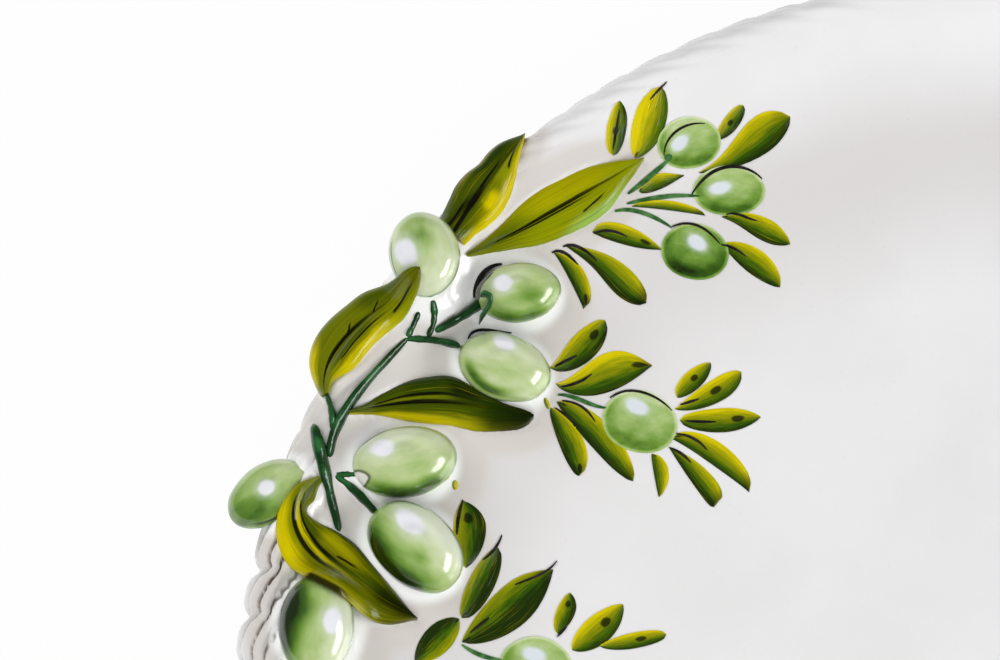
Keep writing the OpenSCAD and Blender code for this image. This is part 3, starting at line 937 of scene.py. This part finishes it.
def put_points(piece, points):
    """Moves the points of a piece."""
    piece.data.vertices.foreach_set("co", (points * mm).astype(np.float32).ravel())
    piece.data.update()


inside_count = len(inside_rings) * turn_count
ground_points = points_of(body)
ground_x, ground_y = ground_points[:inside_count, :2].T
ground_points[:inside_count, 2] = surface(ground_x, ground_y)
# The glaze reads the slip's height and the grooves' depth from these marks for its painted highlight and
# painted shade, on the ground and on the edge
ground_marks = np.zeros((len(ground_points), 3))
ground_marks[:inside_count, 0] = bedding(ground_x, ground_y)
ground_marks[:inside_count, 1] = folds(ground_x, ground_y)
set_mark(body, "slip", ground_marks)
edge_points = points_of(coil)
edge_slip = bedding(edge_points[:, 0], edge_points[:, 1]) * smooth(coil_z - 1, coil_z + 4, edge_points[:, 2])
set_mark(coil, "slip", marks_of(edge_slip, coil_depth.ravel(), 0.0))
edge_points[:, 2] += edge_slip
ground_points[inside_count - turn_count:inside_count] = edge_points[coil_steps - 1::coil_steps]
put_points(body, ground_points)
put_points(coil, edge_points)
for piece, lift_share in laid_on:
    laid_points = points_of(piece)
    laid_points[:, 2] += lift_share * bedding(laid_points[:, 0], laid_points[:, 1])
    put_points(piece, laid_points)

# Painted sprigs
# Past the relief, sprigs of olive are painted straight on the white glaze: leaves in one loaded stroke of
# yellow and green, olives in washes, stems in green and the last lines in ink. The colour stands up a hair's
# breadth.
paint_depth = 0.2
leaf_paint, olive_paint, stem_paint, ink_paint = 0.14, 0.18, 0.22, 0.24
leaf_finish, olive_finish, stem_finish, ink_finish = range(4)
pixel_mm = view_distance / lens_pixels
finished = BVHTree.FromPolygons(np.vstack([ground_points, edge_points]).tolist(),
                                body_faces + [[k + len(ground_points) for k in face] for face in coil_faces])


def on_dish(places):
    """Plan points where the lines of sight through places of the picture meet the finished ground."""
    offsets = np.reshape(places, (-1, 2)) - picture_middle
    rays = view_ahead + (offsets[:, :1] * (1, 0, 0) - offsets[:, 1:] * view_up) / lens_pixels
    hits = [finished.ray_cast(view_point.tolist(), ray)[0][:2] for ray in rays.tolist()]
    return np.reshape(hits, np.shape(places))


def painted(plan, thick):
    """A thin closed skin of paint over a grid of plan points."""
    drops = [finished.ray_cast((x, y, 100), (0, 0, -1))[0] for x, y in plan.reshape(-1, 2)]
    level = np.array([drop[2] for drop in drops]).reshape(plan.shape[:2])
    return shell(plan, level - paint_depth, level + thick)


def painted_leaf_glaze():
    """One stroke of a brush loaded with yellow on one side and dark green on the other."""
    pot = Pot("painted_leaf")
    blade, dab = pot.mark("blade"), pot.mark("dab")
    u, v, seed = pot.parts(blade)
    spot, tip, dark = pot.parts(dab)
    brush = pot.cloud(pot.vector(2.6 * u, 3.5 * v, 7 * seed), 1.7, 4)
    bristle = pot.cloud(pot.vector(1.4 * u, 11 * v, 9 * seed), 1.6, 2)
    across = v + 0.9 * (brush - 0.5) + 1.6 * (dark - 0.35)
    away = pot.far((u - spot) * 6.4, v * 1.7 + 0.1) + 0.4 * (brush - 0.5)
    colour = pot.coats(
        shade(222, 204, 0), (pot.step(-0.8, 0.15, across), shade(140, 146, 0)),
        (pot.step(-0.05, 0.85, across), shade(54, 92, 0)), (pot.step(0.6, 1.3, across) * 0.8, leaf_dark),
        (pot.step(0.52, 0.75, bristle) * 0.3, leaf_green),
        (pot.step(0.45, 0.25, bristle) * 0.25, leaf_yellow),
        (pot.step(0.66, 0.4, away) * 0.9, leaf_dark),
        (pot.step(0.8, 0.97, u + 0.12 * (brush - 0.5)) * tip * 0.85, leaf_dark))
    return pot.fire(colour, 0.09 + 0.08 * bristle, bristle, 0.00008)


def painted_olive_glaze():
    """Washes of green with a pale border, darker below, and a lilac touch."""
    pot = Pot("painted_olive")
    s, t, dark = pot.parts(pot.mark("disc"))
    touch_s, touch_t, touch_turn = pot.parts(pot.mark("touch"))
    out = pot.far(s, t)
    brush = pot.cloud(pot.vector(1.2 * s, 1.4 * t, 5 * dark), 1.6, 3)
    tone = dark + 0.15 * t + 0.5 * (brush - 0.5) + 0.14 * pot.step(0.55, 0.9, out + 0.25 * t)
    tone = tone - 0.25 * pot.step(0.88, 0.98, out)
    c, d = pot.math("COSINE", touch_turn), pot.math("SINE", touch_turn)
    along = (s - touch_s) * c + (t - touch_t) * d
    across = (t - touch_t) * c - (s - touch_s) * d
    away = pot.far(along / 0.36, across / 0.26) + 0.4 * (brush - 0.5)
    colour = pot.coats(wash_of_green(pot, tone), (pot.step(1.7, 0.8, away) * 0.4, shade(196, 214, 176)),
                       (pot.step(1.15, 0.6, away) * 0.9, shade(224, 230, 240)))
    return pot.fire(colour, 0.09 + 0.06 * brush, brush, 0.00006)


def stroke_glaze(name, thin, full):
    """A line from a fine brush."""
    pot = Pot(name)
    place = pot.place()
    flow = pot.cloud(place, 400)
    colour = pot.lay(pot.step(0.35, 0.65, flow), thin, full)
    return pot.fire(colour, 0.12 + 0.1 * flow, flow, 0.00005)


sprig_finishes = [painted_leaf_glaze(), painted_olive_glaze(),
                  stroke_glaze("painted_stem", shade(84, 130, 72), shade(38, 88, 40)),
                  stroke_glaze("painted_ink", shade(44, 40, 38), shade(22, 20, 16))]

# Each sprig by its places in the picture. Leaves: base, tip, the reach of the left and of the right edge from
# the straight line between them with the place of its belly and how full it is at the base, how full the tip
# is, a dark spot along the leaf or 0, how dark the tip is, how dark the leaf is. Olives: middle, half length,
# half width, turn in degrees, darkness, touch along and across, turn of the touch. Stems and inks: places and
# widest width in pixels.
picture_sprigs = {
    "garland": {
        "inks": [
            ([(474, 298), (477, 284), (487, 270), (502, 264)], 5),
            ([(468, 341), (472, 333), (484, 330), (512, 333)], 3),
        ],
    },
    "top": {
        "leaves": [
            ((613, 155.5), (619.5, 101), (9, 0.43, 0.5), (10, 0.57, 0.5), 0.75, 0.45, 0, 0.55),
            ((635, 158), (661, 87), (14.6, 0.58, 0.7), (17, 0.48, 0.7), 0.65, 0, 0.2, 0.28),
            ((717, 139.5), (743, 105.5), (6.5, 0.55, 0.7), (8.5, 0.5, 0.7), 0.5, 0.5, 0.1, 0.65),
            ((699, 173), (790, 117), (18, 0.75, 3.5), (18, 0.62, 1), 0.7, 0, 0.3, 0.6),
            ((639, 191.5), (684, 175.5), (10, 0.42, 0.6), (4.8, 0.35, 0.5), 1.3, 0, 0.9, 0.55),
            ((632, 206.5), (705, 215.5), (9.8, 0.5, 0.8), (-1, 0.5, 1), 0.7, 0, 0.9, 0.45),
            ((592.5, 232), (661.5, 249.5), (14.5, 0.34, 0.45), (4.2, 0.55, 0.7), 1, 0.76, 0.2, 0.55),
            ((554, 252.5), (583.5, 309), (17.6, 0.5, 0.9), (-1.5, 0.4, 1), 0.45, 0.88, 0.9, 0.62),
            ((566, 246), (646, 303), (18, 0.57, 1), (10.2, 0.77, 5), 0.6, 0, 0.9, 0.72),
            ((722, 217), (790, 244), (15, 0.55, 0.8), (7, 0.7, 3), 0.8, 0, 0.3, 0.62),
            ((721, 245), (780, 287), (18, 0.52, 0.7), (6, 0.57, 1.5), 0.7, 0, 0.3, 0.58),
        ],
        "olives": [
            ((689, 143), 32, 26, 10, 0.46, -0.28, -0.06, 45),
            ((729, 191), 36, 25, 0, 0.50, -0.25, -0.12, 22),
            ((695, 252), 34, 28, -12, 0.66, 0.0, -0.33, -30),
        ],
        "stems": [
            ([(628, 194), (645, 181), (660, 168), (671, 158)], 5),
            ([(627, 204), (650, 199), (675, 196), (700, 196.5)], 4.5),
            ([(615, 211.5), (635, 211), (655, 218), (672, 228)], 4.5),
            ([(665, 160), (668, 158), (671, 155)], 7),
        ],
        "inks": [
            ([(664, 156), (668, 141), (682, 128), (705, 124)], 2.4),
            ([(692, 194), (703, 180), (720, 169), (740, 167.5), (762, 179)], 3.5),
            ([(672, 227), (682, 224), (695, 225), (708, 232), (720, 244)], 2.8),
            ([(650, 100), (658, 91), (667, 82)], 2.2),
            ([(613, 150), (616, 132), (619.5, 110)], 2.6),
            ([(594, 234), (605, 231), (615, 232), (627, 237)], 2.8),
            ([(552, 253), (562, 252), (570, 257), (578, 265)], 3.2),
            ([(563, 247), (572, 245.5), (585, 251), (597, 261)], 3.2),
            ([(726, 215), (735, 214), (745, 217), (757, 221)], 2.8),
            ([(721, 245), (730, 247), (738, 251), (746, 257)], 2.8),
        ],
    },
    "middle": {
        "leaves": [
            ((550, 368), (605, 320.5), (8.2, 0.63, 2), (20, 0.5, 0.6), 0.6, 0.76, 0.1, 0.68),
            ((556, 384), (652, 365.5), (20.8, 0.63, 2.2), (18.3, 0.4, 0.7), 1.1, 0.885, 0.6, 0.5),
            ((551, 408), (579, 476), (17.4, 0.6, 0.8), (6, 0.6, 0.5), 0.55, 0.93, 0.6, 0.66),
            ((557, 402), (633, 481), (20, 0.45, 0.7), (6, 0.7, 0.7), 0.65, 0, 0.6, 0.66),
            ((677, 397.5), (710.5, 363), (10, 0.42, 0.5), (8.6, 0.56, 0.7), 0.75, 0.54, 0.2, 0.55),
            ((675, 409), (741, 372), (6.8, 0.7, 1.3), (15.3, 0.62, 0.8), 0.6, 0.59, 0.1, 0.46),
            ((680, 420.5), (760.5, 417), (10, 0.57, 0.5), (13.4, 0.53, 0.6), 0.85, 0.72, 0.1, 0.52),
            ((671, 438), (749, 492), (23.5, 0.47, 0.55), (-2, 0.33, 1), 0.55, 0, 0.8, 0.46),
            ((669, 447), (714, 507), (17, 0.75, 1), (3, 0.8, 1), 0.3, 0, 0.7, 0.66),
            ((652, 454), (659, 497), (13.2, 0.43, 0.6), (1, 0.3, 0.5), 0.8, 0, 0.4, 0.5),
            ((545, 398), (549, 409), (2, 0.5, 0.6), (2, 0.5, 0.6), 0.6, 0, 0, 0.3),
        ],
        "olives": [((640, 422), 38, 31, -14, 0.44, -0.17, -0.44, -16)],
        "stems": [([(558, 395), (575, 398), (590, 404), (606, 408)], 4.5)],
        "inks": [
            ([(610, 398), (630, 391), (652, 396), (672, 411)], 2.8),
            ([(555, 367), (566, 361), (577, 356)], 3),
            ([(561, 387), (577, 383), (592, 374)], 3),
            ([(555, 408), (566, 416), (578, 429)], 2.6),
            ([(562, 401), (580, 406), (595, 422)], 2.8),
            ([(680, 405), (690, 402), (699, 399)], 2.8),
            ([(685, 421), (701, 422), (716, 422)], 2.8),
            ([(676, 434), (692, 438), (707, 450)], 3),
            ([(670, 448), (680, 453), (691, 463)], 3),
        ],
    },
    "bottom": {
        "leaves": [
            ((466, 568), (463, 501), (10.4, 0.52, 0.8), (21.4, 0.6, 0.8), 0.75, 0.74, 0.1, 0.76),
            ((462, 618), (498, 548), (10.7, 0.5, 0.6), (14.2, 0.5, 0.5), 0.6, 0, 0.5, 0.95),
            ((462, 642), (553, 570), (17, 0.62, 0.9), (23.5, 0.5, 0.75), 1, 0, 0.5, 0.95),
            ((459, 619), (415, 662), (14, 0.5, 0.7), (14, 0.45, 0.7), 0.8, 0, 0.4, 0.9),
            ((558, 634), (570, 593), (7.9, 0.4, 0.6), (10.2, 0.62, 0.9), 0.75, 0.74, 0.1, 0.7),
            ((572, 650), (623, 604.5), (11.8, 0.45, 0.7), (16.5, 0.5, 0.7), 0.8, 0.64, 0.1, 0.5),
            ((600, 646), (666, 634.5), (7, 0.6, 0.8), (8, 0.5, 0.7), 0.45, 0.62, 0.1, 0.5),
            ((455, 480.5), (455.5, 490), (2.5, 0.5, 0.5), (2.5, 0.5, 0.5), 0.5, 0, 0, 0.1),
        ],
        "olives": [((536, 668), 37, 31, -8, 0.5, -0.1, -0.4, -12)],
        "stems": [([(462, 645), (480, 655), (502, 660)], 4.5)],
        "inks": [
            ([(463, 500), (459, 515), (457, 535)], 3.4),
            ([(483, 560), (494, 550), (502, 535)], 2.6),
            ([(515, 585), (535, 577), (548, 570), (557, 561)], 2.4),
            ([(470, 633), (480, 625), (489, 618)], 3),
            ([(557, 637), (562, 632), (567, 627)], 2.2),
        ],
    },
}
paint_rows, paint_cols = 26, 13
disc_rings, disc_turns = 12, 48
line_rows, line_cols = 22, 5
least_reach = 0.4
seed_step = 0.37


def painted_leaf(base, tip, left_edge, right_edge, tip_full, spot, tip_dark, dark, seed):
    """A leaf in one stroke, whose two edges swell each in its own way between base and tip."""
    u = np.linspace(0, 1, paint_rows)[:, None]
    v = np.linspace(-1, 1, paint_cols)
    base, ahead = np.array(base), np.subtract(tip, base)
    side = np.array([ahead[1], -ahead[0]]) / np.linalg.norm(ahead)
    left, right = [
        least_reach + reach * np.where(u < belly, (1 - (1 - np.minimum(u / belly, 1)) ** 2) ** base_full,
                                       (1 - (np.maximum(u - belly, 0) / (1 - belly)) ** 2) ** tip_full)
        for reach, belly, base_full in (left_edge, right_edge)]
    places = base + u[..., None] * ahead + ((left + right) * (v + 1) / 2 - right)[..., None] * side
    blade = marks_of(u, -v, seed)
    dab = np.tile((spot, tip_dark, dark), (len(blade), 1))
    return on_dish(places), leaf_paint, leaf_finish, {"blade": blade, "dab": dab}


def painted_olive(middle, long_half, wide_half, turn, dark, touch_s, touch_t, touch_turn):
    """An olive as a disc of washes."""
    ring = np.linspace(0, 1, disc_rings)[:, None]
    around = np.linspace(0, 2 * math.pi, disc_turns + 1)[None, :]
    s, t = ring * np.cos(around), ring * np.sin(around)
    c, d = math.cos(math.radians(turn)), math.sin(math.radians(turn))
    x, y = s * long_half, t * wide_half * (1 + 0.02 * np.sin(3 * around))
    places = np.stack([middle[0] + c * x + d * y, middle[1] - d * x + c * y], -1)
    disc = marks_of(s, t, dark)
    touch = np.tile((touch_s, touch_t, -math.radians(touch_turn)), (len(disc), 1))
    return on_dish(places), olive_paint, olive_finish, {"disc": disc, "touch": touch}


def painted_line(places, width, thick, finish):
    """A brush line through a few places, thin at both ends."""
    knots = on_dish(places)
    spans = np.concatenate([[0], np.cumsum(np.linalg.norm(np.diff(knots, axis=0), axis=1))])
    u = np.linspace(0, 1, line_rows)
    bends = np.polyfit(spans / spans[-1], knots, len(knots) - 1)
    line = np.stack([np.polyval(bends[:, k], u) for k in (0, 1)], -1)
    left = to_left(unit(np.gradient(line, axis=0)))
    half = width * pixel_mm / 2 * np.clip(np.sin(math.pi * (0.06 + 0.9 * u)) ** 0.6, 0.15, 1)
    v = np.linspace(-1, 1, line_cols)
    return line[:, None] + left[:, None] * (half[:, None] * v)[..., None], thick, finish, {}


for sprig_name, sprig in picture_sprigs.items():
    leaves = enumerate(sprig.get("leaves", []))
    strokes = [painted_leaf(*row, seed=(number * seed_step) % 1) for number, row in leaves]
    strokes += [painted_line(*row, stem_paint, stem_finish) for row in sprig.get("stems", [])]
    strokes += [painted_olive(*row) for row in sprig.get("olives", [])]
    strokes += [painted_line(*row, ink_paint, ink_finish) for row in sprig["inks"]]
    for half_name, (x_way, y_way) in halves.items():
        skins = [painted(plan * (x_way, y_way), thick) for plan, thick, _, _ in strokes]
        name = "%s_%s_sprig" % (half_name, sprig_name)
        piece = make_piece(name, *join(skins), sprig_finishes, "leaf_glaze")
        face_finishes = np.repeat([finish for _, _, finish, _ in strokes], [len(faces) for _, faces in skins])
        piece.data.polygons.foreach_set("material_index", face_finishes.astype(np.int32))
        for mark_name in ("blade", "dab", "disc", "touch"):
            sides = [marks.get(mark_name, np.zeros((plan[..., 0].size, 3))) for plan, _, _, marks in strokes]
            set_mark(piece, mark_name, np.concatenate([np.tile(side, (2, 1)) for side in sides]))

# Table and light
# A plain pale table top and soft studio light: a window-like box low on the right, which alone shows in the
# glaze, a large box in front and one behind on the left, which only give light, and a dim room all round.
table_size = 4
table_white_share = 0.96
garland_middle = np.array([-0.09, 0.04, 0.02])
table = bpy.data.objects.new("table", bpy.data.meshes.new("table"))
table.data.from_pydata([(-table_size, -table_size, 0), (table_size, -table_size, 0),
                        (table_size, table_size, 0), (-table_size, table_size, 0)], [], [(0, 1, 2, 3)])
bpy.context.scene.collection.objects.link(table)
table_pot = Pot("table")
light_path = {name: table_pot.node("ShaderNodeLightPath", {}, {}, name)
              for name in ("Is Camera Ray", "Is Glossy Ray", "Is Transmission Ray")}
seen = table_pot.math("MINIMUM", sum(light_path.values(), 0), 1)
table_cloud = table_pot.cloud(table_pot.place(), 6)
table_colour = table_pot.lay(table_cloud, shade(240, 240, 240), shade(236, 236, 236))
table_matt = table_pot.node("ShaderNodeBsdfDiffuse", {}, {"Color": table_colour})
table_white = table_pot.node("ShaderNodeEmission", {}, {"Color": shade(255, 255, 255), "Strength": 1})
table_mix = table_pot.node(
    "ShaderNodeMixShader", {}, {0: seen * table_white_share, 1: table_matt, 2: table_white})
table_pot.node("ShaderNodeOutputMaterial", {}, {"Surface": table_mix})
table.data.materials.append(table_pot.material)

room = bpy.data.worlds.new("room")
bpy.context.scene.world = room
room.use_nodes = True
room_nodes, room_links = room.node_tree.nodes, room.node_tree.links
room_light = 0.1
backdrop = next(n for n in room_nodes if n.type == "BACKGROUND")
backdrop.inputs["Color"].default_value = (1, 1, 1, 1)
ray = room_nodes.new("ShaderNodeLightPath")
level = room_nodes.new("ShaderNodeMapRange")
level.inputs["To Min"].default_value = room_light
room_links.new(ray.outputs["Is Camera Ray"], level.inputs["Value"])
room_links.new(level.outputs["Result"], backdrop.inputs["Strength"])


def soft_box(name, watts, wide, high, distance, rise, azimuth, gleams):
    """A soft lamp that faces the left garland, from a height and a direction in degrees."""
    lamp = bpy.data.objects.new(name, bpy.data.lights.new(name, "AREA"))
    lamp.data.shape = "RECTANGLE"
    lamp.data.energy, lamp.data.size, lamp.data.size_y = watts, wide, high
    lamp.visible_glossy = gleams
    up, round_z = math.radians(rise), math.radians(azimuth)
    way = np.array([math.cos(up) * math.cos(round_z), math.cos(up) * math.sin(round_z), math.sin(up)])
    lamp.location = garland_middle + way * distance
    lamp.rotation_euler = (math.pi / 2 - up, 0, round_z + math.pi / 2)
    bpy.context.scene.collection.objects.link(lamp)


soft_box("window_box", 12, 1.0, 0.42, 1.5, 17, -14, True)
soft_box("front_box", 30, 1.8, 1.8, 2.0, 42, -85, False)
soft_box("back_box", 22, 1.4, 1.4, 1.8, 40, 140, False)

bpy.context.scene.view_settings.view_transform = "Standard"
